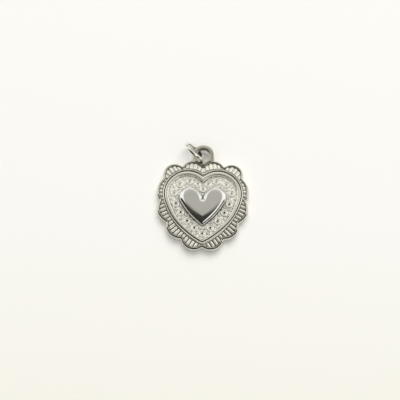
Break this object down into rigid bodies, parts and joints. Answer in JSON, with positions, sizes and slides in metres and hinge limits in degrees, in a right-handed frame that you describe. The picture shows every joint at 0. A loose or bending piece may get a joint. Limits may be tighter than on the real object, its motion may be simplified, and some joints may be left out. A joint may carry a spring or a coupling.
{
  "type": "charm pendant",
  "caption": "Scalloped heart charm with a ribbed border, a double-ridged heart frame, a puffed heart among rosettes, and a jump ring hanging in its ear.",
  "frame": {"origin": "on the plane of the back, at the middle of the medal's width, where its scalloped outline is centred", "axes": "+Z out of the face, +Y up to the hanging ear, +X to the right seen from the front"},
  "size_m": [0.019, 0.0231, 0.005],
  "materials": {
    "oxidised_silver": "polished relief over darkened recesses",
    "polished_silver": "bright polish",
    "silver_wire": "polished wire"
  },
  "bodies": {
    "charm": {"medal_plate": "oxidised_silver", "puffed_heart": "polished_silver"},
    "ring": {"jump_ring": "silver_wire"}
  },
  "joints": [
    {"name": "ring_travel", "type": "hinge", "parent": "charm", "child": "ring", "pos_m": [0, 0.01008, 0], "axis": [0, 0, 1], "range_deg": [-135, 45]}
  ]
}
